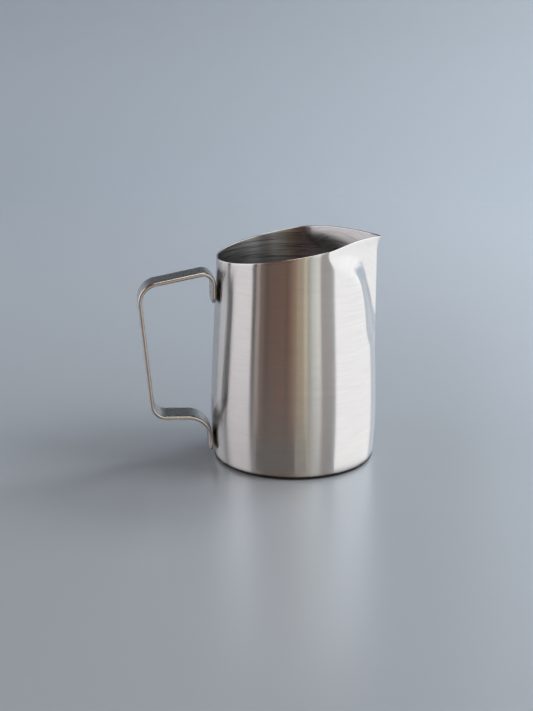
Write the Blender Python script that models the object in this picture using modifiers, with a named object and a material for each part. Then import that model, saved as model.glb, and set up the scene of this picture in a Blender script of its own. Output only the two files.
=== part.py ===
"""Milk frothing pitcher: a drawn stainless steel jug with a strap handle spot-welded to it.

The jug's axis is the Z axis and it stands on Z = 0. The spout points along +X, the handle
along -X, and the left and right halves mirror each other across the plane Y = 0.
"""

from cmath import phase, rect
from math import atan2, cos, exp, hypot, pi, radians, sin, sqrt, tan

import bmesh
import bpy
from mathutils import Vector

# ---- Driving dimensions, in metres and degrees ------------------------------------------

# Jug wall: widest a little above the base, then drawn in softly towards the mouth.
WALL_THICKNESS = 0.0008
BASE_RADIUS = 0.0399
BELLY_RADIUS = 0.04105
BELLY_HEIGHT = 0.024
MOUTH_RADIUS = 0.03775
MOUTH_HEIGHT = 0.110
BASE_CORNER = 0.0018

# Rim: a slanting plane that levels out and then dips towards the tip of the spout.
RIM_HEIGHT = 0.1075
RIM_SLOPE = 0.167
RIM_LEVELLING_START = 0.014
RIM_LEVELLING = 5.8

# Spout: two flats pressed in beside it, meeting in an upright ridge that flares at the lip.
PINCH_FOOT = 0.058
PINCH_TOP = 0.110
PINCH_SPREAD = 0.0057
PINCH_EASE = 1.4
PINCH_FADE = 0.25
PINCH_FOOT_ANGLE = radians(18.5)
PINCH_TURN_START = 0.6
PINCH_TURN_END = 0.95
PINCH_BLEND = 0.0018
PINCH_TOP_BLEND = 0.0035
PINCH_TOP_SLACK = 0.0003
RIDGE_REACH = 0.0412
RIDGE_ANGLE = radians(38.0)
RIDGE_ROUNDING = radians(1.0)
RIDGE_BLEND = 0.0006
RIDGE_FOOT = 0.058
RIDGE_FULL = 0.068
RIDGE_FOOT_DROP = 0.002
FRONT_REACH = 0.0411
FRONT_SWELL_ANGLE = radians(8.0)
FRONT_SWELL_FULL = 0.042
FRONT_SWELL_FADE = 0.062
FRONT_SWELL_END = 0.084
LIP_START = 0.102
LIP_FLARE = 0.0023
LIP_ANGLE = radians(40.0)

# Handle: one bent strap, given by the corners of its centre line and the bend radii there.
STRAP_WIDTH = 0.0154
STRAP_THICKNESS = 0.0020
STRAP_EDGE_RADIUS = 0.0006
TAB_CORNER_RADIUS = 0.0030
TAB_GAP = 0.0003
UPPER_TAB_END = 0.0798
UPPER_CORNER_HEIGHT = 0.0953
UPPER_OUTER_CORNER = (-0.0760, 0.0884)
LOWER_OUTER_CORNER = (-0.0702, 0.0232)
LOWER_CORNER_HEIGHT = 0.0223
LOWER_TAB_END = 0.0052
BEND_RADII = (0.0050, 0.0090, 0.0075, 0.0110)

# Spot welds: two to each tab, let into the inner face of the strap.
WELD_RADIUS = 0.0019
WELD_SPACING = 0.0078
WELD_CLEARANCE = 0.0003
WELD_RECESS_DEPTH = 0.0009
UPPER_WELD_HEIGHT = 0.0850
LOWER_WELD_HEIGHT = 0.0092

# How finely the surfaces are divided.
JUG_ANGLE_STEPS = 96
JUG_CORNER_STEPS = 4
JUG_WALL_STEPS = 15
JUG_BASE_RINGS = 3
SPOUT_CROWDING = 0.62
BEND_STEP = radians(11.0)
TAB_CORNER_STEPS = 4
STRAP_EDGE_STEPS = 2
WELD_SIDES = 20

OBJECT_NAME = "milk_pitcher"


# ---- Scene, collections and materials ---------------------------------------------------

def clear_scene():
    for old in list(bpy.data.objects):
        bpy.data.objects.remove(old, do_unlink=True)


def new_collection(name):
    collection = bpy.data.collections.new(name)
    bpy.context.scene.collection.children.link(collection)
    return collection


def steel(name, colour, roughness):
    material = bpy.data.materials.new(name)
    material.use_nodes = True
    shader = material.node_tree.nodes["Principled BSDF"]
    shader.inputs["Base Color"].default_value = (*colour, 1.0)
    shader.inputs["Metallic"].default_value = 1.0
    shader.inputs["Roughness"].default_value = roughness
    return material


def add_piece(name, mesh_edit, material, collection):
    """Turn a bmesh into a named, smooth-shaded object of its own."""
    mesh = bpy.data.meshes.new(name)
    mesh_edit.to_mesh(mesh)
    mesh_edit.free()
    mesh.materials.append(material)
    mesh.shade_smooth()
    mesh.set_sharp_from_angle(angle=radians(40.0))
    piece = bpy.data.objects.new(name, mesh)
    collection.objects.link(piece)
    return piece


# ---- Jug body ---------------------------------------------------------------------------

def ramp(value, start, end):
    """Soft step: 0 below start, 1 above end."""
    t = min(max((value - start) / (end - start), 0.0), 1.0)
    return t * t * (3.0 - 2.0 * t)


def soft_max(a, b, blend):
    """The larger of two lengths, with the corner between them rounded off."""
    overlap = max(blend - abs(a - b), 0.0) / blend
    return max(a, b) + overlap * overlap * blend / 4.0


def soft_min(a, b, blend):
    return -soft_max(-a, -b, blend)


def wall_radius(height):
    """Outer radius of the jug before the spout is pressed into it."""
    if height < BELLY_HEIGHT:
        below = (BELLY_HEIGHT - height) / BELLY_HEIGHT
        return BELLY_RADIUS - (BELLY_RADIUS - BASE_RADIUS) * below * below
    rise = min((height - BELLY_HEIGHT) / (MOUTH_HEIGHT - BELLY_HEIGHT), 1.0)
    return MOUTH_RADIUS + (BELLY_RADIUS - MOUTH_RADIUS) * (0.5 + 0.5 * cos(pi * rise))


def flat_radius(reach, facing, angle):
    """Distance from the axis to an upright flat whose normal points along the facing angle."""
    return reach / max(cos(angle - facing), 0.2)


def spout_radius(angle, height):
    """Outer radius of the finished jug at an angle from the spout."""
    round_wall = wall_radius(height)
    lip = min(max((height - LIP_START) / (PINCH_TOP - LIP_START), 0.0), 1.0)
    tip = RIDGE_REACH + LIP_FLARE * lip * lip
    flank = RIDGE_ANGLE + (LIP_ANGLE - RIDGE_ANGLE) * lip

    pinch = min(max((height - PINCH_FOOT) / (PINCH_TOP - PINCH_FOOT), 0.0), 1.0)
    softening = ramp(pinch, PINCH_TURN_START, 1.0)
    reach = tip * cos(flank) + PINCH_SPREAD * (0.5 + 0.5 * cos(pi * pinch ** PINCH_EASE))
    reach += PINCH_TOP_SLACK * softening
    turn = ramp(pinch, PINCH_TURN_START, PINCH_TURN_END)
    facing = PINCH_FOOT_ANGLE + (flank - PINCH_FOOT_ANGLE) * turn
    blend = PINCH_BLEND + (PINCH_TOP_BLEND - PINCH_BLEND) * softening
    pressed = soft_min(round_wall, flat_radius(reach, facing, angle), blend)
    pressed = round_wall + (pressed - round_wall) * ramp(pinch, 0.0, PINCH_FADE)

    swell = max(FRONT_REACH - round_wall, 0.0) * exp(-(angle / FRONT_SWELL_ANGLE) ** 2)
    swell *= ramp(height, BELLY_HEIGHT, FRONT_SWELL_FULL)
    swell *= 1.0 - ramp(height, FRONT_SWELL_FADE, FRONT_SWELL_END)
    front = pressed + swell

    rounded = sqrt(angle * angle + RIDGE_ROUNDING * RIDGE_ROUNDING) - RIDGE_ROUNDING
    tip -= RIDGE_FOOT_DROP * (1.0 - ramp(height, RIDGE_FOOT, RIDGE_FULL))
    ridge = flat_radius(tip * cos(flank), flank, min(rounded, flank))
    return soft_max(front, ridge, RIDGE_BLEND)


def rim_height(angle):
    """Height of the rim, from how far forward that part of the rim lies."""
    forward = spout_radius(angle, PINCH_TOP) * cos(angle)
    beyond = max(forward - RIM_LEVELLING_START, 0.0)
    return RIM_HEIGHT + RIM_SLOPE * forward - RIM_LEVELLING * beyond * beyond


def jug_profile():
    """Half section from the middle of the base to the rim, as (radius, height)."""
    flat = BASE_RADIUS - BASE_CORNER
    points = [(flat * ring / JUG_BASE_RINGS, 0.0) for ring in range(JUG_BASE_RINGS)]
    for step in range(JUG_CORNER_STEPS + 1):
        turn = pi / 2.0 * step / JUG_CORNER_STEPS
        points.append((flat + BASE_CORNER * sin(turn), BASE_CORNER * (1.0 - cos(turn))))
    for step in range(1, JUG_WALL_STEPS + 1):
        rise = step / JUG_WALL_STEPS
        points.append((BASE_RADIUS, BASE_CORNER + (MOUTH_HEIGHT - BASE_CORNER) * rise))
    return points


def shape_jug(mesh_edit):
    """Draw the turned blank to the wall's curve, cut its rim and press its spout."""
    for vertex in mesh_edit.verts:
        radius = hypot(vertex.co.x, vertex.co.y)
        turned = atan2(vertex.co.y, vertex.co.x)
        angle = turned - SPOUT_CROWDING * sin(turned)
        height = vertex.co.z
        if height > BASE_CORNER:
            rise = (height - BASE_CORNER) / (MOUTH_HEIGHT - BASE_CORNER)
            height = BASE_CORNER + (rim_height(abs(angle)) - BASE_CORNER) * rise
            radius = spout_radius(abs(angle), height)
        elif radius > BASE_RADIUS - BASE_CORNER:
            radius += (wall_radius(height) - BASE_RADIUS) * height / BASE_CORNER
        vertex.co = Vector((radius * cos(angle), radius * sin(angle), height))


def make_jug_body(material, collection):
    """One piece of sheet steel drawn to a cup: an open surface with the wall inside it."""
    mesh_edit = bmesh.new()
    vertices = [mesh_edit.verts.new((x, 0.0, z)) for x, z in jug_profile()]
    for first, second in zip(vertices, vertices[1:]):
        mesh_edit.edges.new((first, second))
    bmesh.ops.spin(mesh_edit, geom=mesh_edit.verts[:] + mesh_edit.edges[:], axis=(0, 0, 1),
                   cent=(0, 0, 0), angle=2.0 * pi, steps=JUG_ANGLE_STEPS, use_merge=True)
    bmesh.ops.remove_doubles(mesh_edit, verts=mesh_edit.verts, dist=0.00001)
    shape_jug(mesh_edit)
    bmesh.ops.recalc_face_normals(mesh_edit, faces=mesh_edit.faces)
    middle = min(mesh_edit.faces, key=lambda face: face.calc_center_median().length)
    if middle.normal.z > 0.0:
        bmesh.ops.reverse_faces(mesh_edit, faces=mesh_edit.faces)
    body = add_piece("jug_body", mesh_edit, material, collection)
    wall = body.modifiers.new("wall", "SOLIDIFY")
    wall.thickness = WALL_THICKNESS
    wall.offset = -1.0
    wall.use_even_offset = True
    return body


# ---- Handle -----------------------------------------------------------------------------

def tab_centre(height):
    """Forward place of a tab's centre line, clear of the wall at a height."""
    return -(wall_radius(height) + TAB_GAP + STRAP_THICKNESS / 2.0)


def strap_corners():
    """Centre line of the handle in the plane Y = 0, as complex numbers x + iz, from the end
    of its upper tab to the end of its lower tab."""
    upper = tab_centre(UPPER_TAB_END)
    lower = tab_centre(LOWER_WELD_HEIGHT + 2.0 * WELD_RADIUS)
    return [complex(upper, UPPER_TAB_END),
            complex(upper, UPPER_CORNER_HEIGHT),
            complex(*UPPER_OUTER_CORNER),
            complex(*LOWER_OUTER_CORNER),
            complex(lower, LOWER_CORNER_HEIGHT),
            complex(lower, LOWER_TAB_END)]


def strap_runs():
    """The bent centre line as straights and bends: (length, start, heading, turn) of each."""
    corners = strap_corners()
    headings = [(after - before) / abs(after - before)
                for before, after in zip(corners, corners[1:])]
    runs = []
    start = corners[0]
    for corner, arriving, leaving, radius in zip(corners[1:], headings, headings[1:], BEND_RADII):
        turn = phase(leaving / arriving)
        setback = radius * tan(abs(turn) / 2.0)
        bend_start = corner - arriving * setback
        runs.append((abs(bend_start - start), start, arriving, 0.0))
        runs.append((radius * abs(turn), bend_start, arriving, turn))
        start = corner + leaving * setback
    runs.append((abs(corners[-1] - start), start, headings[-1], 0.0))
    return runs


def bend_stations(runs):
    """Places along the flat blank where it needs a row of its own: the bends."""
    stations = []
    passed = 0.0
    for length, _, _, turn in runs:
        if turn:
            rows = round(abs(turn) / BEND_STEP)
            stations += [passed + length * row / rows for row in range(rows + 1)]
        passed += length
    return stations


def bent_place(runs, along, aside):
    """Where a point of the flat blank goes once it is bent, as x + iz. aside is its distance
    from the centre line, to the left of the way from the upper tab to the lower tab."""
    for length, start, heading, turn in runs[:-1]:
        if along <= length:
            break
        along -= length
    else:
        length, start, heading, turn = runs[-1]
    if not turn:
        return start + heading * along + 1j * heading * aside
    centre = start + 1j * heading * length / turn
    swing = rect(1.0, turn * along / length)
    return centre + (start - centre + 1j * heading * aside) * swing


def round_edges(mesh_edit, edges, radius, segments):
    bmesh.ops.bevel(mesh_edit, geom=edges, offset=radius, offset_type="OFFSET",
                    segments=segments, profile=0.5, affect="EDGES", material=-1)


def make_handle(material, collection):
    """Cut the flat blank with rounded corners and edges, then bend it along its path."""
    runs = strap_runs()
    total = sum(run[0] for run in runs)
    mesh_edit = bmesh.new()
    bmesh.ops.create_cube(mesh_edit, size=1.0)
    bmesh.ops.translate(mesh_edit, verts=mesh_edit.verts, vec=(0.5, 0.0, 0.0))
    bmesh.ops.scale(mesh_edit, verts=mesh_edit.verts, vec=(total, STRAP_WIDTH, STRAP_THICKNESS))
    uprights = [edge for edge in mesh_edit.edges
                if abs(edge.verts[0].co.z - edge.verts[1].co.z) > STRAP_THICKNESS / 2.0]
    round_edges(mesh_edit, uprights, TAB_CORNER_RADIUS, TAB_CORNER_STEPS)
    outlines = [edge for edge in mesh_edit.edges
                if abs(edge.verts[0].co.z - edge.verts[1].co.z) < STRAP_THICKNESS / 2.0]
    round_edges(mesh_edit, outlines, STRAP_EDGE_RADIUS, STRAP_EDGE_STEPS)
    for station in bend_stations(runs):
        everything = mesh_edit.verts[:] + mesh_edit.edges[:] + mesh_edit.faces[:]
        bmesh.ops.bisect_plane(mesh_edit, geom=everything, dist=0.000001,
                               plane_co=(station, 0.0, 0.0), plane_no=(1.0, 0.0, 0.0))
    for vertex in mesh_edit.verts:
        place = bent_place(runs, vertex.co.x, vertex.co.z)
        vertex.co = Vector((place.real, vertex.co.y, place.imag))
    bmesh.ops.recalc_face_normals(mesh_edit, faces=mesh_edit.faces)
    return add_piece("handle", mesh_edit, material, collection)


# ---- Spot welds -------------------------------------------------------------------------

def welds():
    """Each spot weld as (name, side, height, forward place of its tab's centre line)."""
    upper = strap_corners()[0].real
    lower = strap_corners()[-1].real
    for level, height, tab in (("upper", UPPER_WELD_HEIGHT, upper),
                               ("lower", LOWER_WELD_HEIGHT, lower)):
        for hand, side in (("left", 0.5), ("right", -0.5)):
            yield f"{level}_{hand}_spot_weld", side * WELD_SPACING, height, tab


def disc_along_x(start, end, radius, side, height):
    """A short cylinder lying along X between two places."""
    mesh_edit = bmesh.new()
    bmesh.ops.create_cone(mesh_edit, cap_ends=True, segments=WELD_SIDES,
                          radius1=radius, radius2=radius, depth=end - start)
    for vertex in mesh_edit.verts:
        along = (start + end) / 2.0 + vertex.co.z
        vertex.co = Vector((along, side + vertex.co.x, height + vertex.co.y))
    return mesh_edit


def make_welds(handle, material, collection, cutters):
    """The fused slugs between strap and wall, with the recess that each one fills."""
    for name, side, height, tab in welds():
        inner_face = tab + STRAP_THICKNESS / 2.0
        recess_floor = inner_face - WELD_RECESS_DEPTH
        nearest = abs(side) - WELD_RADIUS
        highest_wall = max(wall_radius(height - WELD_RADIUS), wall_radius(height + WELD_RADIUS))
        wall = -sqrt(highest_wall ** 2 - nearest ** 2)
        slug = disc_along_x(recess_floor + WELD_CLEARANCE, wall - WELD_CLEARANCE,
                            WELD_RADIUS, side, height)
        add_piece(name, slug, material, collection)
        cut = disc_along_x(recess_floor, inner_face + STRAP_THICKNESS,
                           WELD_RADIUS + WELD_CLEARANCE, side, height)
        cutter = add_piece(f"{name}_recess", cut, material, cutters)
        cutter.hide_render = True
        cutter.display_type = "WIRE"
        recess = handle.modifiers.new(f"{name}_recess", "BOOLEAN")
        recess.operation = "DIFFERENCE"
        recess.object = cutter


clear_scene()
parts = new_collection(OBJECT_NAME)
cutters = new_collection("cutters")
brushed_steel = steel("brushed_steel", (0.62, 0.60, 0.58), 0.30)
handle_steel = steel("handle_steel", (0.46, 0.45, 0.44), 0.35)
weld_steel = steel("weld_steel", (0.36, 0.34, 0.32), 0.45)
make_jug_body(brushed_steel, parts)
pitcher_handle = make_handle(handle_steel, parts)
make_welds(pitcher_handle, weld_steel, parts, cutters)
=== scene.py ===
"""Milk frothing pitcher: the drawn jug, its strap handle and its spot welds, dressed in steel.

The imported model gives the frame: the jug's axis is Z, it stands on Z = 0, the spout points
along +X and the handle along -X. All sizes are in metres.
"""

from cmath import phase, rect
from math import atan2, cos, exp, hypot, pi, radians, sin, sqrt, tan

import bmesh
import bpy
from mathutils import Matrix, Vector


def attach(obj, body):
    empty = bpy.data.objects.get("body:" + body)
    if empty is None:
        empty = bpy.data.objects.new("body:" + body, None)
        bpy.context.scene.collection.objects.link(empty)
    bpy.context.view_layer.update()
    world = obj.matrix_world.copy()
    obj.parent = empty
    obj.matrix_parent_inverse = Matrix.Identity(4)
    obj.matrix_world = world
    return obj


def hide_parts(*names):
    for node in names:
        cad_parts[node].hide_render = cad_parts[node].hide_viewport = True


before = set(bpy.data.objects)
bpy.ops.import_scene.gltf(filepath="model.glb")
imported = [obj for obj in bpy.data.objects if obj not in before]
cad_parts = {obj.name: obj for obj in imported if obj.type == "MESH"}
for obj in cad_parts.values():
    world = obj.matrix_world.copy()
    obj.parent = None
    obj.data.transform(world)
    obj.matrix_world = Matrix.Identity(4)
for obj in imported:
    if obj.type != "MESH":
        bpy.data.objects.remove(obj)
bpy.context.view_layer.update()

# ---- Jug body ---------------------------------------------------------------------------
# One piece of stainless sheet: deep-drawn to a cup, its rim cut on a slant and ground round,
# and a pouring spout pressed into its wall. The wall is brushed round and round on a lathe,
# outside with a fine belt and inside more coarsely; the base is turned and the rim polished.
# The inside is also coloured darker than the outside: painted shade inside the cup.

WALL_THICKNESS = 0.0008
BASE_RADIUS = 0.0399
BELLY_RADIUS = 0.04105
BELLY_HEIGHT = 0.024
MOUTH_RADIUS = 0.03775
MOUTH_HEIGHT = 0.110
BASE_CORNER = 0.0018

RIM_HEIGHT = 0.1075
RIM_SLOPE = 0.167
RIM_LEVELLING_START = 0.014
RIM_LEVELLING = 5.8

PINCH_FOOT = 0.058
PINCH_TOP = 0.110
PINCH_SPREAD = 0.0057
PINCH_EASE = 1.4
PINCH_FADE = 0.25
PINCH_FOOT_ANGLE = radians(18.5)
PINCH_TURN_START = 0.6
PINCH_TURN_END = 0.95
PINCH_BLEND = 0.0018
PINCH_TOP_BLEND = 0.0035
PINCH_TOP_SLACK = 0.0003
RIDGE_REACH = 0.0412
RIDGE_ANGLE = radians(38.0)
RIDGE_ROUNDING = radians(1.0)
RIDGE_BLEND = 0.0006
RIDGE_FOOT = 0.058
RIDGE_FULL = 0.068
RIDGE_FOOT_DROP = 0.002
FRONT_REACH = 0.0411
FRONT_SWELL_ANGLE = radians(8.0)
FRONT_SWELL_FULL = 0.042
FRONT_SWELL_FADE = 0.062
FRONT_SWELL_END = 0.084
LIP_START = 0.102
LIP_FLARE = 0.0023
LIP_ANGLE = radians(40.0)

JUG_TURN_STEPS = 320
JUG_WALL_STEPS = 72
JUG_CORNER_STEPS = 8
JUG_RIM_STEPS = 8
JUG_BASE_RINGS = 6
SPOUT_CROWDING = 0.62
TINY = 0.00001
LEAST_COSINE = 0.2
WORN_RING_START = 0.0325
WORN_RING_FULL = 0.0362
BUMP_HEIGHT = 0.0001


def ramp(value, start, end):
    """Soft step: 0 below start, 1 above end."""
    t = min(max((value - start) / (end - start), 0.0), 1.0)
    return t * t * (3.0 - 2.0 * t)


def soft_max(a, b, blend):
    """The larger of two lengths, with the corner between them rounded off."""
    overlap = max(blend - abs(a - b), 0.0) / blend
    return max(a, b) + overlap * overlap * blend / 4.0


def soft_min(a, b, blend):
    return -soft_max(-a, -b, blend)


def wall_radius(height):
    """Outer radius of the jug before the spout is pressed into it."""
    if height < BELLY_HEIGHT:
        below = (BELLY_HEIGHT - height) / BELLY_HEIGHT
        return BELLY_RADIUS - (BELLY_RADIUS - BASE_RADIUS) * below * below
    rise = min((height - BELLY_HEIGHT) / (MOUTH_HEIGHT - BELLY_HEIGHT), 1.0)
    return MOUTH_RADIUS + (BELLY_RADIUS - MOUTH_RADIUS) * (0.5 + 0.5 * cos(pi * rise))


def flat_radius(reach, facing, angle):
    """Distance from the axis to an upright flat whose normal points along the facing angle."""
    return reach / max(cos(angle - facing), LEAST_COSINE)


def spout_radius(angle, height, depth=0.0):
    """Distance from the axis to a surface that lies a depth below the jug's outside, at an
    angle from the spout."""
    round_wall = wall_radius(height) - depth
    lip = min(max((height - LIP_START) / (PINCH_TOP - LIP_START), 0.0), 1.0)
    tip = RIDGE_REACH + LIP_FLARE * lip * lip
    flank = RIDGE_ANGLE + (LIP_ANGLE - RIDGE_ANGLE) * lip

    pinch = min(max((height - PINCH_FOOT) / (PINCH_TOP - PINCH_FOOT), 0.0), 1.0)
    softening = ramp(pinch, PINCH_TURN_START, 1.0)
    reach = tip * cos(flank) + PINCH_SPREAD * (0.5 + 0.5 * cos(pi * pinch ** PINCH_EASE))
    reach += PINCH_TOP_SLACK * softening
    turn = ramp(pinch, PINCH_TURN_START, PINCH_TURN_END)
    facing = PINCH_FOOT_ANGLE + (flank - PINCH_FOOT_ANGLE) * turn
    blend = PINCH_BLEND + (PINCH_TOP_BLEND - PINCH_BLEND) * softening
    pressed = soft_min(round_wall, flat_radius(reach - depth, facing, angle), blend)
    pressed = round_wall + (pressed - round_wall) * ramp(pinch, 0.0, PINCH_FADE)

    swell = max(FRONT_REACH - depth - round_wall, 0.0) * exp(-(angle / FRONT_SWELL_ANGLE) ** 2)
    swell *= ramp(height, BELLY_HEIGHT, FRONT_SWELL_FULL)
    swell *= 1.0 - ramp(height, FRONT_SWELL_FADE, FRONT_SWELL_END)
    front = pressed + swell

    rounded = sqrt(angle * angle + RIDGE_ROUNDING * RIDGE_ROUNDING) - RIDGE_ROUNDING
    tip -= RIDGE_FOOT_DROP * (1.0 - ramp(height, RIDGE_FOOT, RIDGE_FULL))
    ridge = flat_radius(tip * cos(flank) - depth, flank, min(rounded, flank))
    return soft_max(front, ridge, RIDGE_BLEND)


def rim_height(angle):
    """Height of the rim, from how far forward that part of the rim lies."""
    forward = spout_radius(angle, PINCH_TOP) * cos(angle)
    beyond = max(forward - RIM_LEVELLING_START, 0.0)
    return RIM_HEIGHT + RIM_SLOPE * forward - RIM_LEVELLING * beyond * beyond


def add_piece(name, mesh_edit, materials, smooth_angle):
    """Turn a bmesh into a named piece, smooth but for the edges sharper than an angle."""
    mesh = bpy.data.meshes.new(name)
    mesh_edit.to_mesh(mesh)
    mesh_edit.free()
    for material in materials:
        mesh.materials.append(material)
    mesh.shade_smooth()
    mesh.set_sharp_from_angle(angle=smooth_angle)
    piece = bpy.data.objects.new(name, mesh)
    bpy.context.scene.collection.objects.link(piece)
    return piece


def quarter(centre_radius, centre_height, radius, start, steps):
    """Points of a quarter circle in the half section, turning anticlockwise from start."""
    return [(centre_radius + radius * cos(start + pi / 2.0 * step / steps),
             centre_height + radius * sin(start + pi / 2.0 * step / steps))
            for step in range(steps + 1)]


def jug_section():
    """The blank's half section: up the outside, over the round rim and down the inside."""
    half = WALL_THICKNESS / 2.0
    flat = BASE_RADIUS - BASE_CORNER
    inner_corner = BASE_CORNER - WALL_THICKNESS
    outside = [(flat * ring / JUG_BASE_RINGS, 0.0) for ring in range(JUG_BASE_RINGS)]
    outside += quarter(flat, BASE_CORNER, BASE_CORNER, -pi / 2.0, JUG_CORNER_STEPS)
    outside += [(BASE_RADIUS, BASE_CORNER + (MOUTH_HEIGHT - BASE_CORNER) * row / JUG_WALL_STEPS)
                for row in range(1, JUG_WALL_STEPS)]
    rim = [(BASE_RADIUS - half + half * cos(pi * step / JUG_RIM_STEPS),
            MOUTH_HEIGHT + half * sin(pi * step / JUG_RIM_STEPS))
           for step in range(JUG_RIM_STEPS + 1)]
    inside = [(radius - WALL_THICKNESS, height) for radius, height in
              outside[:-JUG_WALL_STEPS:-1]]
    inside += quarter(flat, BASE_CORNER, inner_corner, -pi / 2.0, JUG_CORNER_STEPS)[::-1]
    inside += [(flat * ring / JUG_BASE_RINGS, WALL_THICKNESS)
               for ring in reversed(range(JUG_BASE_RINGS))]
    return outside + rim + inside


def shape_jug(mesh_edit):
    """Draw the turned blank to the wall's curve, cut its rim and press its spout."""
    half = WALL_THICKNESS / 2.0
    for vertex in mesh_edit.verts:
        radius = hypot(vertex.co.x, vertex.co.y)
        turned = atan2(vertex.co.y, vertex.co.x)
        angle = turned - SPOUT_CROWDING * sin(turned)
        height = vertex.co.z
        if height > BASE_CORNER - TINY:
            over_rim = max(height - MOUTH_HEIGHT, 0.0)
            rise = (height - over_rim - BASE_CORNER) / (MOUTH_HEIGHT - BASE_CORNER)
            rim = rim_height(abs(angle)) - half
            height = BASE_CORNER + (rim - BASE_CORNER) * rise + over_rim
            radius = spout_radius(abs(angle), height, BASE_RADIUS - radius)
        elif radius > BASE_RADIUS - BASE_CORNER:
            radius += (wall_radius(height) - BASE_RADIUS) * height / BASE_CORNER
        vertex.co = Vector((radius * cos(angle), radius * sin(angle), height))


OUTSIDE, INSIDE, RIM, UNDERSIDE = range(4)


def mark_jug_faces(mesh_edit):
    """Say which faces of the blank are outside, inside, rim and underside."""
    middle = BASE_RADIUS - WALL_THICKNESS / 2.0
    for face in mesh_edit.faces:
        centre = face.calc_center_median()
        radius = hypot(centre.x, centre.y)
        if centre.z > MOUTH_HEIGHT:
            face.material_index = RIM
        elif centre.z < TINY:
            face.material_index = UNDERSIDE
        elif radius > middle:
            face.material_index = OUTSIDE
        elif hypot(radius - (BASE_RADIUS - BASE_CORNER), min(centre.z - BASE_CORNER, 0.0)) \
                > BASE_CORNER - WALL_THICKNESS / 2.0 and radius > BASE_RADIUS - BASE_CORNER:
            face.material_index = OUTSIDE
        else:
            face.material_index = INSIDE


class Signal:
    """An output socket of a finish, so that shader maths reads as maths."""

    def __init__(self, finish, socket):
        self.finish = finish
        self.socket = socket

    def math(self, operation, first, second):
        return self.finish.node("ShaderNodeMath", {"operation": operation}, {0: first, 1: second})

    def __add__(self, other):
        return self.math("ADD", self, other)

    def __mul__(self, other):
        return self.math("MULTIPLY", self, other)

    def __pow__(self, other):
        return self.math("POWER", self, other)


class Finish:
    """A material and the nodes that make it."""

    def __init__(self, name):
        self.material = bpy.data.materials.new(name)
        self.material.use_nodes = True
        self.tree = self.material.node_tree
        self.shader = self.tree.nodes["Principled BSDF"]

    def connect(self, socket, value):
        if isinstance(value, Signal):
            self.tree.links.new(value.socket, socket)
        else:
            socket.default_value = value

    def node(self, kind, settings, inputs, output=0):
        made = self.tree.nodes.new(kind)
        for setting, value in settings.items():
            setattr(made, setting, value)
        for key, value in inputs.items():
            self.connect(made.inputs[key], value)
        return Signal(self, made.outputs[output])

    def set(self, **values):
        for name, value in values.items():
            self.connect(self.shader.inputs[name.replace("_", " ").title()], value)

    def place(self):
        """Object coordinates as three values."""
        spot = self.node("ShaderNodeTexCoord", {}, {}, "Object")
        parts = self.tree.nodes.new("ShaderNodeSeparateXYZ")
        self.connect(parts.inputs[0], spot)
        return [Signal(self, parts.outputs[axis]) for axis in range(3)]

    def vector(self, x, y, z):
        return self.node("ShaderNodeCombineXYZ", {}, {0: x, 1: y, 2: z})

    def noise(self, vector, scale, detail=2.0, roughness=0.5):
        return self.node("ShaderNodeTexNoise", {}, {"Vector": vector, "Scale": scale,
                                                    "Detail": detail, "Roughness": roughness})

    def blend(self, amount, first, second):
        """A colour between two colours."""
        made = self.tree.nodes.new("ShaderNodeMix")
        made.data_type = "RGBA"
        self.connect(made.inputs[0], amount)
        self.connect(made.inputs[6], (*first, 1.0) if isinstance(first, tuple) else first)
        self.connect(made.inputs[7], (*second, 1.0) if isinstance(second, tuple) else second)
        return Signal(self, made.outputs[2])

    def span(self, value, low, high, to_low=0.0, to_high=1.0):
        """A value rescaled from one range to another, and held inside it."""
        return self.node("ShaderNodeMapRange", {"clamp": True},
                         {"Value": value, "From Min": low, "From Max": high,
                          "To Min": to_low, "To Max": to_high})

    def bump(self, height, strength, distance):
        return self.node("ShaderNodeBump", {}, {"Height": height, "Strength": strength,
                                                "Distance": distance})


def brushing(finish, along, across):
    """Streaks that run round the jug's axis: fine, middle and broad brush marks, each 0 to 1.
    along and across are how many marks fit a metre in each direction."""
    x, y, z = finish.place()
    radius = (x * x + y * y) ** 0.5
    streaks = []
    for share in (1.0, 0.3, 0.08):
        spot = finish.vector(x * along, y * along, (z + radius) * (across * share))
        streaks.append(finish.noise(spot, 1.0, 2.0, 0.6))
    return streaks


def brushed_outside():
    finish = Finish("jug_brushed_outside")
    fine, middle, broad = brushing(finish, 60.0, 4600.0)
    tone = finish.span(fine * 0.3 + middle * 0.45 + broad * 0.25, 0.34, 0.66)
    finish.set(base_color=finish.blend(tone, (0.635, 0.625, 0.615), (0.70, 0.69, 0.685)),
               metallic=1.0,
               roughness=finish.span(fine * 0.6 + middle * 0.4, 0.35, 0.65, 0.17, 0.235),
               anisotropic=1.0, anisotropic_rotation=0.25,
               normal=finish.bump(fine * 0.3 + middle * 0.7, 0.16, BUMP_HEIGHT))
    return finish.material


# Coarser brushing than outside, and a darker colour that paints the shade inside the cup.
def brushed_inside_painted_shade():
    finish = Finish("jug_brushed_inside")
    fine, middle, broad = brushing(finish, 40.0, 2600.0)
    tone = finish.span(fine * 0.3 + middle * 0.45 + broad * 0.25, 0.38, 0.62)
    finish.set(base_color=finish.blend(tone, (0.38, 0.375, 0.38), (0.62, 0.615, 0.615)),
               metallic=1.0,
               roughness=finish.span(fine * 0.5 + middle * 0.5, 0.35, 0.65, 0.24, 0.36),
               anisotropic=0.9, anisotropic_rotation=0.25,
               normal=finish.bump(fine * 0.3 + middle * 0.5 + broad * 0.2, 0.6, BUMP_HEIGHT))
    return finish.material


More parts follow.
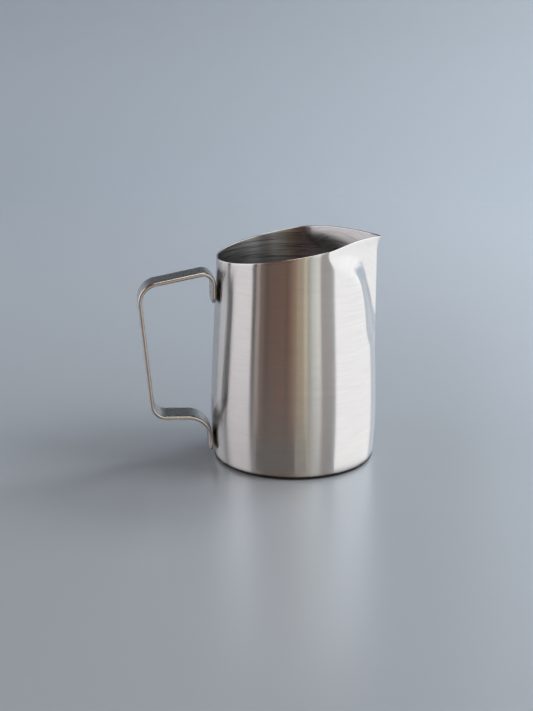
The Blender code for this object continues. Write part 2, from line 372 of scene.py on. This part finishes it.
def polished_rim():
    finish = Finish("jug_polished_rim")
    fine, middle, broad = brushing(finish, 60.0, 4000.0)
    finish.set(base_color=finish.blend(broad, (0.74, 0.73, 0.72), (0.80, 0.79, 0.78)),
               metallic=1.0,
               roughness=finish.span(fine * 0.5 + middle * 0.5, 0.35, 0.65, 0.14, 0.24),
               normal=finish.bump(middle, 0.05, BUMP_HEIGHT))
    return finish.material


def turned_underside():
    finish = Finish("jug_turned_underside")
    fine, middle, broad = brushing(finish, 18.0, 4200.0)
    x, y, z = finish.place()
    scuffs = finish.noise(finish.vector(x, y, z), 900.0, 4.0, 0.7)
    worn = finish.span((x * x + y * y) ** 0.5, WORN_RING_START, WORN_RING_FULL)
    tone = finish.span(fine * 0.4 + middle * 0.35 + broad * 0.25, 0.36, 0.64)
    rough = finish.span(fine * 0.5 + middle * 0.5, 0.35, 0.65, 0.27, 0.4)
    finish.set(base_color=finish.blend(tone, (0.55, 0.54, 0.53), (0.68, 0.67, 0.66)),
               metallic=1.0,
               roughness=rough + worn * scuffs * 0.25,
               anisotropic=0.8, anisotropic_rotation=0.25,
               normal=finish.bump(fine * 0.5 + middle * 0.5 + worn * scuffs * 0.6, 0.2, BUMP_HEIGHT))
    return finish.material


def make_jug():
    mesh_edit = bmesh.new()
    vertices = [mesh_edit.verts.new((x, 0.0, z)) for x, z in jug_section()]
    for first, second in zip(vertices, vertices[1:]):
        mesh_edit.edges.new((first, second))
    bmesh.ops.spin(mesh_edit, geom=mesh_edit.verts[:] + mesh_edit.edges[:], axis=(0, 0, 1),
                   cent=(0, 0, 0), angle=2.0 * pi, steps=JUG_TURN_STEPS, use_merge=True)
    bmesh.ops.remove_doubles(mesh_edit, verts=mesh_edit.verts, dist=TINY)
    mark_jug_faces(mesh_edit)
    shape_jug(mesh_edit)
    bmesh.ops.recalc_face_normals(mesh_edit, faces=mesh_edit.faces)
    if mesh_edit.calc_volume(signed=True) < 0.0:
        bmesh.ops.reverse_faces(mesh_edit, faces=mesh_edit.faces)
    jug = add_piece("brushed_jug", mesh_edit,
                    [brushed_outside(), brushed_inside_painted_shade(), polished_rim(), turned_underside()],
                    radians(60.0))
    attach(jug, "root")
    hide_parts("jug_body")


make_jug()

# ---- Handle -----------------------------------------------------------------------------
# One strap of stainless strip with rounded ends and edges, bent at four places so that a tab
# at each end lies against the wall. It is tumbled to a satin, which leaves its edges brighter,
# and the welding electrodes leave two shallow round marks on each tab's outer face.

STRAP_WIDTH = 0.0154
STRAP_THICKNESS = 0.0020
STRAP_EDGE_RADIUS = 0.00085
TAB_CORNER_RADIUS = 0.0030
TAB_GAP = 0.0003
UPPER_TAB_END = 0.0798
UPPER_CORNER_HEIGHT = 0.0953
UPPER_OUTER_CORNER = (-0.0760, 0.0884)
LOWER_OUTER_CORNER = (-0.0702, 0.0232)
LOWER_CORNER_HEIGHT = 0.0223
LOWER_TAB_END = 0.0052
BEND_RADII = (0.0050, 0.0090, 0.0075, 0.0110)
WELD_RADIUS = 0.0019
WELD_SPACING = 0.0078
UPPER_WELD_HEIGHT = 0.0850
LOWER_WELD_HEIGHT = 0.0092

BEND_STEP = radians(3.0)
TAB_CORNER_STEPS = 8
STRAP_EDGE_STEPS = 6
MARK_RADIUS = 0.0016
MARK_DEPTH = 0.00018
MARK_GRID = 0.00032
MARK_STEPS = 6
MARK_FLOOR = 0.55
MARK_BRIM = 1.05
CUT_TOLERANCE = 0.000001
FLAT_ENOUGH = 0.8
FACE, EDGE = range(2)


def tab_centre(height):
    """Forward place of a tab's centre line, clear of the wall at a height."""
    return -(wall_radius(height) + TAB_GAP + STRAP_THICKNESS / 2.0)


def strap_corners():
    """Centre line of the handle in the plane Y = 0, as complex numbers x + iz, from the end
    of its upper tab to the end of its lower tab."""
    upper = tab_centre(UPPER_TAB_END)
    lower = tab_centre(LOWER_WELD_HEIGHT + 2.0 * WELD_RADIUS)
    return [complex(upper, UPPER_TAB_END),
            complex(upper, UPPER_CORNER_HEIGHT),
            complex(*UPPER_OUTER_CORNER),
            complex(*LOWER_OUTER_CORNER),
            complex(lower, LOWER_CORNER_HEIGHT),
            complex(lower, LOWER_TAB_END)]


def strap_runs():
    """The bent centre line as straights and bends: (length, start, heading, turn) of each."""
    corners = strap_corners()
    headings = [(after - before) / abs(after - before)
                for before, after in zip(corners, corners[1:])]
    runs = []
    start = corners[0]
    for corner, arriving, leaving, radius in zip(corners[1:], headings, headings[1:], BEND_RADII):
        turn = phase(leaving / arriving)
        setback = radius * tan(abs(turn) / 2.0)
        bend_start = corner - arriving * setback
        runs.append((abs(bend_start - start), start, arriving, 0.0))
        runs.append((radius * abs(turn), bend_start, arriving, turn))
        start = corner + leaving * setback
    runs.append((abs(corners[-1] - start), start, headings[-1], 0.0))
    return runs


def bend_stations(runs):
    """Places along the flat blank where it needs a row of its own: the bends."""
    stations = []
    passed = 0.0
    for length, _, _, turn in runs:
        if turn:
            rows = round(abs(turn) / BEND_STEP)
            stations += [passed + length * row / rows for row in range(rows + 1)]
        passed += length
    return stations


def bent_place(runs, along, aside):
    """Where a point of the flat blank goes once it is bent, as x + iz. aside is its distance
    from the centre line, to the left of the way from the upper tab to the lower tab."""
    for length, start, heading, turn in runs[:-1]:
        if along <= length:
            break
        along -= length
    else:
        length, start, heading, turn = runs[-1]
    if not turn:
        return start + heading * along + 1j * heading * aside
    centre = start + 1j * heading * length / turn
    swing = rect(1.0, turn * along / length)
    return centre + (start - centre + 1j * heading * aside) * swing


def round_edges(mesh_edit, edges, radius, segments):
    bmesh.ops.bevel(mesh_edit, geom=edges, offset=radius, offset_type="OFFSET",
                    segments=segments, profile=0.5, affect="EDGES", material=-1)


def cut_across(mesh_edit, place, direction):
    everything = mesh_edit.verts[:] + mesh_edit.edges[:] + mesh_edit.faces[:]
    bmesh.ops.bisect_plane(mesh_edit, geom=everything, dist=CUT_TOLERANCE,
                           plane_co=place, plane_no=direction)


def satin_strap():
    finish = Finish("handle_satin")
    x, y, z = finish.place()
    spot = finish.vector(x, y, z)
    grain = finish.noise(spot, 5200.0, 3.0, 0.65)
    cloud = finish.noise(spot, 260.0, 3.0, 0.55)
    tone = finish.span(grain * 0.5 + cloud * 0.5, 0.36, 0.64)
    finish.set(base_color=finish.blend(tone, (0.54, 0.535, 0.53), (0.59, 0.585, 0.58)),
               metallic=1.0,
               roughness=finish.span(grain * 0.3 + cloud * 0.7, 0.35, 0.65, 0.25, 0.31),
               normal=finish.bump(cloud, 0.02, BUMP_HEIGHT))
    return finish.material


def polished_edge():
    finish = Finish("handle_polished_edge")
    x, y, z = finish.place()
    spot = finish.vector(x, y, z)
    grain = finish.noise(spot, 3000.0, 3.0, 0.6)
    cloud = finish.noise(spot, 180.0, 2.0, 0.5)
    finish.set(base_color=finish.blend(cloud, (0.62, 0.61, 0.60), (0.74, 0.73, 0.72)),
               metallic=1.0,
               roughness=finish.span(grain * 0.5 + cloud * 0.5, 0.35, 0.65, 0.10, 0.18),
               normal=finish.bump(cloud, 0.05, 0.0005))
    return finish.material


def make_handle():
    runs = strap_runs()
    total = sum(run[0] for run in runs)
    marks = [(UPPER_WELD_HEIGHT - UPPER_TAB_END, 1.0),
             (total + LOWER_TAB_END - LOWER_WELD_HEIGHT, -1.0)]
    mesh_edit = bmesh.new()
    bmesh.ops.create_cube(mesh_edit, size=1.0)
    bmesh.ops.translate(mesh_edit, verts=mesh_edit.verts, vec=(0.5, 0.0, 0.0))
    bmesh.ops.scale(mesh_edit, verts=mesh_edit.verts, vec=(total, STRAP_WIDTH, STRAP_THICKNESS))
    uprights = [edge for edge in mesh_edit.edges
                if abs(edge.verts[0].co.z - edge.verts[1].co.z) > STRAP_THICKNESS / 2.0]
    round_edges(mesh_edit, uprights, TAB_CORNER_RADIUS, TAB_CORNER_STEPS)
    outlines = [edge for edge in mesh_edit.edges
                if abs(edge.verts[0].co.z - edge.verts[1].co.z) < STRAP_THICKNESS / 2.0]
    round_edges(mesh_edit, outlines, STRAP_EDGE_RADIUS, STRAP_EDGE_STEPS)
    for station in bend_stations(runs):
        cut_across(mesh_edit, (station, 0.0, 0.0), (1.0, 0.0, 0.0))
    steps = range(-MARK_STEPS, MARK_STEPS + 1)
    for along, _ in marks:
        for step in steps:
            cut_across(mesh_edit, (along + step * MARK_GRID, 0.0, 0.0), (1.0, 0.0, 0.0))
    for side in (-0.5, 0.5):
        for step in steps:
            aside = side * WELD_SPACING + step * MARK_GRID
            cut_across(mesh_edit, (0.0, aside, 0.0), (0.0, 1.0, 0.0))
    for face in mesh_edit.faces:
        face.material_index = FACE if abs(face.normal.z) > FLAT_ENOUGH else EDGE
    for vertex in mesh_edit.verts:
        aside = vertex.co.z
        for along, outer in marks:
            if abs(aside - outer * STRAP_THICKNESS / 2.0) < TINY:
                off = hypot(vertex.co.x - along, abs(vertex.co.y) - WELD_SPACING / 2.0)
                aside -= outer * MARK_DEPTH * (1.0 - ramp(off / MARK_RADIUS, MARK_FLOOR, MARK_BRIM))
        place = bent_place(runs, vertex.co.x, aside)
        vertex.co = Vector((place.real, vertex.co.y, place.imag))
    bmesh.ops.recalc_face_normals(mesh_edit, faces=mesh_edit.faces)
    handle = add_piece("strap_handle", mesh_edit, [satin_strap(), polished_edge()], radians(50.0))
    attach(handle, "root")
    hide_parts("handle")


make_handle()

# ---- Spot welds -------------------------------------------------------------------------
# Four slugs of steel fused between the strap's tabs and the wall, two to a tab. The packed
# nodes stay, and get the dull grey, straw-tinted look of steel that has melted and set.


def fused_steel():
    finish = Finish("weld_fused_steel")
    x, y, z = finish.place()
    spot = finish.vector(x, y, z)
    grain = finish.noise(spot, 2400.0, 4.0, 0.65)
    tint = finish.span(finish.noise(spot, 700.0), 0.4, 0.6)
    finish.set(base_color=finish.blend(tint, (0.30, 0.285, 0.27), (0.42, 0.37, 0.30)),
               metallic=1.0,
               roughness=finish.span(grain, 0.35, 0.65, 0.42, 0.6),
               normal=finish.bump(grain, 0.4, BUMP_HEIGHT))
    return finish.material


weld_look = fused_steel()
for name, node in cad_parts.items():
    if name.endswith("spot_weld"):
        node.material_slots[0].material = weld_look

# ---- Studio -----------------------------------------------------------------------------
# A pale satin sheet that curves up all round, tall light panels left and right, and the
# darker, warmer room in front. The room is not built: glowing coloured bands that only the
# steel sees paint its reflection. A second, darker sheet that glows a little is what the steel
# shows of the floor: a painted reflection, with glowing patches between the floors for more.

FLOOR_RADIUS = 0.9
COVE_RADIUS = 0.9
STUDIO_HEIGHT = 2.4
PANEL_RADIUS = 1.0
PALE_FLOOR = -0.0002
BETWEEN_FLOORS = -0.0003
MIRRORED_FLOOR = -0.0004
CAMERA_BEARING = 260.7
PANEL_STEP = 4.0
FLOOR_PANEL_ROWS = 12
COVE_STEPS = 24
TURN_STEPS = 96


def stage_piece(name, mesh_edit, material):
    mesh = bpy.data.meshes.new(name)
    mesh_edit.to_mesh(mesh)
    mesh_edit.free()
    mesh.materials.append(material)
    mesh.shade_smooth()
    piece = bpy.data.objects.new(name, mesh)
    bpy.context.scene.collection.objects.link(piece)
    return piece


def turned_piece(name, section, steps, sweep, material):
    """A piece of the studio: a section turned about the jug's axis."""
    mesh_edit = bmesh.new()
    vertices = [mesh_edit.verts.new((x, 0.0, z)) for x, z in section]
    for first, second in zip(vertices, vertices[1:]):
        mesh_edit.edges.new((first, second))
    full = sweep[1] - sweep[0] > 359.0
    bmesh.ops.rotate(mesh_edit, verts=mesh_edit.verts, cent=(0, 0, 0),
                     matrix=Matrix.Rotation(radians(sweep[0]), 3, "Z"))
    bmesh.ops.spin(mesh_edit, geom=mesh_edit.verts[:] + mesh_edit.edges[:], axis=(0, 0, 1),
                   cent=(0, 0, 0), angle=radians(sweep[1] - sweep[0]), steps=steps,
                   use_merge=full)
    bmesh.ops.remove_doubles(mesh_edit, verts=mesh_edit.verts, dist=TINY)
    bmesh.ops.recalc_face_normals(mesh_edit, faces=mesh_edit.faces)
    return stage_piece(name, mesh_edit, material)


def glow(name, colour, strength):
    """The look of a panel: it only shines, and reflects nothing."""
    finish = Finish(name)
    finish.set(base_color=(0.0, 0.0, 0.0, 1.0), roughness=1.0,
               emission_color=(*colour, 1.0), emission_strength=strength)
    finish.shader.inputs["Specular IOR Level"].default_value = 0.0
    return finish.material


def panel(name, start, end, top, colour, strength, low=0.0):
    """A curved upright panel from one bearing to another, seen only in reflections."""
    section = [(PANEL_RADIUS, low), (PANEL_RADIUS, top)]
    piece = turned_piece(name, section, max(2, round((end - start) / PANEL_STEP)), (start, end),
                         glow(name, colour, strength))
    piece.visible_camera = False
    piece.visible_shadow = False


def floor_panel(name, start, end, near, far, colour, strength, lean=0.0):
    """A panel that lies between the two floors. The jug's wall mirrors it at the bearings
    given, which lean by so many degrees to the metre, and from near to far off the wall.
    It glows, lights nothing and only the steel sees it: a painted reflection of the floor."""
    columns = max(2, round((end - start) / PANEL_STEP))
    mesh_edit = bmesh.new()
    rows = []
    for row in range(FLOOR_PANEL_ROWS + 1):
        out = near + (far - near) * row / FLOOR_PANEL_ROWS
        rows.append([])
        for column in range(columns + 1):
            bearing = start + (end - start) * column / columns + lean * (out - near)
            place = rect(BELLY_RADIUS, radians((bearing + CAMERA_BEARING) / 2.0))
            place += rect(out, radians(bearing))
            rows[-1].append(mesh_edit.verts.new((place.real, place.imag, BETWEEN_FLOORS)))
    for inner, outer in zip(rows, rows[1:]):
        for column in range(columns):
            mesh_edit.faces.new((inner[column], outer[column],
                                 outer[column + 1], inner[column + 1]))
    piece = stage_piece(name, mesh_edit, glow(name, colour, strength))
    piece.visible_camera = False
    piece.visible_shadow = False
    piece.visible_diffuse = False


def soft_light(name, place, target, size, power, colour):
    """A large lamp that lights the sheet and stays out of the steel's reflections."""
    data = bpy.data.lights.new(name, "AREA")
    data.shape = "DISK"
    data.size = size
    data.energy = power
    data.color = colour
    lamp = bpy.data.objects.new(name, data)
    lamp.location = place
    lamp.rotation_euler = (Vector(target) - Vector(place)).to_track_quat("-Z", "Y").to_euler()
    lamp.visible_glossy = False
    lamp.visible_camera = False
    bpy.context.scene.collection.objects.link(lamp)


def satin_sheet(name, colour, metallic, roughness):
    finish = Finish(name)
    finish.set(base_color=(*colour, 1.0), metallic=metallic, roughness=roughness)
    return finish.material


pale = satin_sheet("pale_sheet", (0.58, 0.645, 0.715), 0.2, 0.30)
floor = turned_piece("pale_floor", [(FLOOR_RADIUS * ring / 2, PALE_FLOOR) for ring in range(3)],
                     TURN_STEPS, (0.0, 360.0), pale)
floor.visible_glossy = False
cove = [(FLOOR_RADIUS + COVE_RADIUS * sin(pi / 2.0 * step / COVE_STEPS),
         COVE_RADIUS * (1.0 - cos(pi / 2.0 * step / COVE_STEPS)) + PALE_FLOOR)
        for step in range(COVE_STEPS + 1)]
cove.append((FLOOR_RADIUS + COVE_RADIUS, STUDIO_HEIGHT))
turned_piece("pale_cove", cove, TURN_STEPS, (0.0, 360.0), pale)
# Painted reflection of the floor: a darker sheet below the pale floor that glows a little and is
# seen only by the steel, while the pale floor is hidden from reflections.
painted_floor_reflection_finish = Finish("painted_floor_reflection")
painted_floor_reflection_finish.set(base_color=(0.58, 0.58, 0.60, 1.0), metallic=0.75, roughness=0.28,
               emission_color=(0.10, 0.098, 0.10, 1.0), emission_strength=1.0)
mirrored = turned_piece("painted_floor_reflection", [(0.0, MIRRORED_FLOOR), (PANEL_RADIUS, MIRRORED_FLOOR)],
                        TURN_STEPS, (0.0, 360.0), painted_floor_reflection_finish.material)
mirrored.visible_camera = False
mirrored.visible_diffuse = False
mirrored.visible_shadow = False

# Painted reflections: except for the three light panels, these bands are not lamps. They glow in the
# colours the room and backdrop show in the steel, and so paint those reflections onto it band by
# band.
panel("painted_backdrop_reflection_high", 66.0, 119.0, 1.4, (0.07, 0.07, 0.075), 1.0, low=0.26)
panel("far_left_light", 119.0, 151.0, 0.6, (0.98, 0.98, 1.0), 0.9)
panel("left_gap", 151.0, 157.0, 1.0, (0.08, 0.08, 0.08), 1.0)
panel("left_light", 157.0, 200.0, 0.9, (1.0, 0.955, 0.965), 1.25)
panel("left_edge", 200.0, 206.0, 0.9, (0.05, 0.045, 0.04), 1.0)
panel("left_warm", 206.0, 212.0, 0.9, (0.56, 0.47, 0.42), 1.0)
panel("painted_room_reflection_tan", 212.0, 219.0, 1.2, (0.21, 0.12, 0.085), 1.0)
panel("painted_room_reflection_dark_brown", 219.0, 227.0, 1.2, (0.12, 0.062, 0.04), 1.0)
panel("painted_room_reflection_brown", 227.0, 240.0, 1.2, (0.165, 0.085, 0.05), 1.0)
panel("painted_room_reflection_red_brown", 240.0, 250.0, 1.2, (0.19, 0.088, 0.045), 1.0)
panel("painted_room_reflection_dark_line", 250.0, 253.5, 1.2, (0.11, 0.055, 0.03), 1.0)
panel("painted_room_reflection_umber", 253.5, 259.0, 1.2, (0.24, 0.12, 0.065), 1.0)
panel("painted_room_reflection_ochre", 259.0, 265.0, 1.2, (0.38, 0.23, 0.14), 1.0)
panel("painted_room_reflection_khaki", 265.0, 275.0, 1.2, (0.56, 0.44, 0.30), 1.0)
panel("painted_room_reflection_straw", 275.0, 279.5, 1.2, (0.90, 0.82, 0.62), 1.0)
panel("painted_room_reflection_sage", 279.5, 283.5, 1.2, (0.56, 0.54, 0.44), 1.0)
panel("painted_room_reflection_sage_light", 283.5, 286.5, 1.2, (0.78, 0.75, 0.68), 1.0)
panel("painted_room_reflection_pale", 286.5, 292.0, 1.2, (1.0, 0.99, 0.93), 1.0)
panel("painted_room_reflection_pale_light", 292.0, 298.5, 1.2, (1.22, 1.21, 1.14), 1.0)
panel("painted_room_reflection_grey", 298.5, 314.0, 1.2, (0.55, 0.52, 0.49), 1.0)
panel("right_gap", 314.0, 321.0, 1.2, (0.50, 0.50, 0.50), 1.0)
panel("right_light", 321.0, 400.0, 1.3, (1.0, 1.0, 1.01), 1.35)
# Painted reflections of the floor: glowing patches that light nothing and that only the steel sees,
# lighter where the floor would be lit and darker in a strip at the left.
floor_panel("painted_right_floor_reflection", 321.0, 398.0, 0.006, 0.9, (1.0, 1.0, 1.01), 1.2)
floor_panel("painted_right_far_floor_reflection", 398.0, 430.0, 0.006, 0.9, (0.68, 0.73, 0.80), 0.95)
floor_panel("painted_left_dark_reflection_strip", 136.5, 145.0, 0.07, 0.34, (0.02, 0.02, 0.02), 1.0, lean=90.0)
floor_panel("painted_back_floor_reflection", 70.0, 130.0, 0.10, 0.9, (0.33, 0.355, 0.40), 1.0)
floor_panel("painted_front_floor_reflection", 207.0, 263.0, 0.006, 0.07, (0.165, 0.158, 0.155), 1.0)
floor_panel("painted_front_floor_reflection_pale", 263.0, 279.0, 0.006, 0.07, (0.31, 0.30, 0.285), 1.0)
shade = turned_piece("contact_shade", [(0.030, BETWEEN_FLOORS), (0.0425, BETWEEN_FLOORS)], 48,
                     (0.0, 360.0), glow("contact_shade", (0.01, 0.01, 0.01), 1.0))
ceiling = turned_piece("ceiling_light", [(0.0, 1.5), (0.45, 1.5)], 48, (0.0, 360.0),
                       glow("ceiling_light", (1.0, 1.0, 1.0), 2.2))
for piece in (shade, ceiling):
    piece.visible_camera = False
    piece.visible_shadow = False
    piece.visible_diffuse = False

soft_light("key_light", (1.1, -0.3, 1.3), (0.15, 0.25, 0.0), 0.9, 7.5, (1.0, 0.99, 0.98))
soft_light("sheet_light", (0.9, 0.6, 1.2), (0.75, 1.3, 0.1), 0.9, 10.5, (1.0, 1.0, 1.0))

world = bpy.data.worlds.new("studio_air")
world.use_nodes = True
world.node_tree.nodes["Background"].inputs["Color"].default_value = (0.50, 0.54, 0.60, 1.0)
world.node_tree.nodes["Background"].inputs["Strength"].default_value = 0.05
bpy.context.scene.world = world

# ---- Camera -----------------------------------------------------------------------------
# A long lens a little above the rim, looking down at the jug with its spout to the right and
# its handle to the left. All is in focus.

CAMERA_DIP = 15.55
CAMERA_SWING = -7.935

camera_data = bpy.data.cameras.new("camera")
camera_data.sensor_width = 36.0
camera_data.lens = 61.94
camera = bpy.data.objects.new("camera", camera_data)
camera.location = (-0.0941, -0.5779, 0.2135)
camera.rotation_euler = (radians(90.0 - CAMERA_DIP), 0.0, radians(CAMERA_SWING))
bpy.context.scene.collection.objects.link(camera)
bpy.context.scene.camera = camera
bpy.context.scene.view_settings.view_transform = "Standard"
